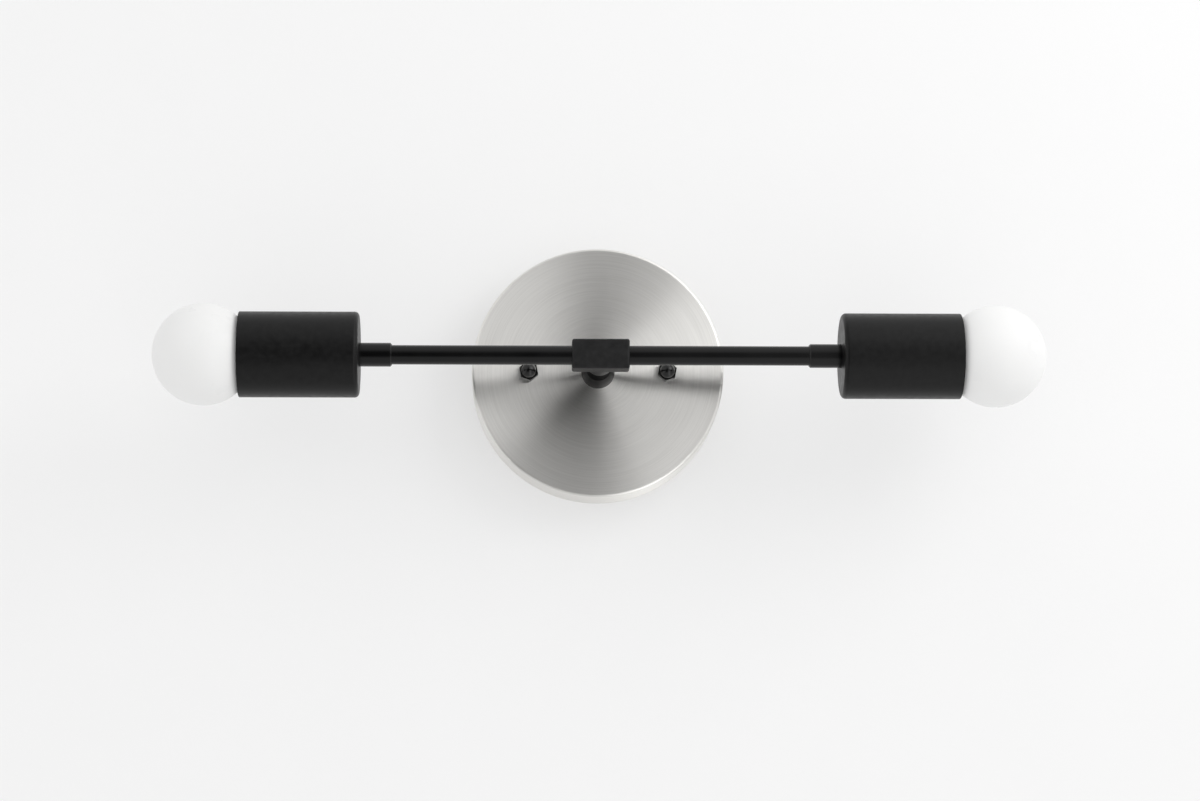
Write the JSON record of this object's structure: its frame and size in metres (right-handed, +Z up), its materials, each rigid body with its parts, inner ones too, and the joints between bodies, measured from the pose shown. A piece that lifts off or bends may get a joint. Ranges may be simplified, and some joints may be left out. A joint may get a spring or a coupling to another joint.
{
  "type": "vanity light",
  "caption": "Wall-mounted vanity light: round brushed canopy, black tube arm on a short stem, a lamp cup at each end with a screw-in opal globe bulb.",
  "frame": {"origin": "centre of the canopy's rear rim, on the wall plane", "axes": "+Y into the wall, -Y out into the room, +X along the arm to the right seen from the room, +Z up"},
  "size_m": [0.438, 0.098, 0.127],
  "materials": {
    "brushed_nickel": "satin",
    "black_coat": "satin",
    "zinc_steel": "satin",
    "green_screw": "satin",
    "brass": "satin",
    "shell_aluminium": "satin",
    "porcelain": "gloss",
    "opal_glass": "satin",
    "clear_glass": "gloss",
    "black_glass": "gloss",
    "solder": "satin",
    "tungsten": "satin",
    "black_wire": "satin",
    "white_wire": "satin",
    "copper": "satin",
    "wire_nut_plastic": "satin"
  },
  "bodies": {
    "fixture": {"canopy": "brushed_nickel", "cap_nuts": "black_coat", "stem_collar": "black_coat", "stem_coupler": "black_coat", "tee_block": "black_coat", "left_arm_tube": "black_coat", "left_arm_coupler": "black_coat", "left_cup": "black_coat", "right_arm_tube": "black_coat", "right_arm_coupler": "black_coat", "right_cup": "black_coat", "crossbar": "zinc_steel", "crossbar_studs": "zinc_steel", "stud_locknuts": "zinc_steel", "stem_nipple": "zinc_steel", "nipple_washer": "zinc_steel", "nipple_locknut": "zinc_steel", "tee_nipple": "zinc_steel", "left_cup_nipple": "zinc_steel", "left_cup_locknut": "zinc_steel", "left_socket_bracket": "zinc_steel", "left_bracket_screws": "zinc_steel", "right_cup_nipple": "zinc_steel", "right_cup_locknut": "zinc_steel", "right_socket_bracket": "zinc_steel", "right_bracket_screws": "zinc_steel", "ground_screw": "green_screw", "ground_lug": "brass", "left_centre_contact": "brass", "right_centre_contact": "brass", "left_screw_shell": "shell_aluminium", "right_screw_shell": "shell_aluminium", "left_socket_body": "porcelain", "right_socket_body": "porcelain", "left_black_wire": "black_wire", "right_black_wire": "black_wire", "left_white_wire": "white_wire", "right_white_wire": "white_wire", "ground_wire": "copper", "black_wire_nut": "wire_nut_plastic", "white_wire_nut": "wire_nut_plastic"},
    "left_bulb_foot": {"left_bulb_tip": "solder", "left_bulb_insulator": "black_glass"},
    "left_bulb": {"left_bulb_globe": "opal_glass", "left_bulb_base": "shell_aluminium", "left_bulb_stem": "clear_glass", "left_bulb_filament": "tungsten"},
    "right_bulb_foot": {"right_bulb_tip": "solder", "right_bulb_insulator": "black_glass"},
    "right_bulb": {"right_bulb_globe": "opal_glass", "right_bulb_base": "shell_aluminium", "right_bulb_stem": "clear_glass", "right_bulb_filament": "tungsten"}
  },
  "joints": [
    {"name": "left_bulb_travel", "type": "slide", "parent": "fixture", "child": "left_bulb_foot", "axis": [-1, 0, 0], "range_m": [0, 0.0254]},
    {"name": "left_bulb_turn", "type": "hinge", "parent": "left_bulb_foot", "child": "left_bulb", "pos_m": [-0.165, -0.073, 0], "axis": [-1, 0, 0], "range_deg": [0, 2520]},
    {"name": "right_bulb_travel", "type": "slide", "parent": "fixture", "child": "right_bulb_foot", "axis": [1, 0, 0], "range_m": [0, 0.0254]},
    {"name": "right_bulb_turn", "type": "hinge", "parent": "right_bulb_foot", "child": "right_bulb", "pos_m": [0.165, -0.073, 0], "axis": [1, 0, 0], "range_deg": [0, 2520]}
  ],
  "couplings": [
    {"joint": "left_bulb_turn", "follows": "left_bulb_travel", "rad_per_m": 1731.6},
    {"joint": "right_bulb_turn", "follows": "right_bulb_travel", "rad_per_m": 1731.6}
  ]
}
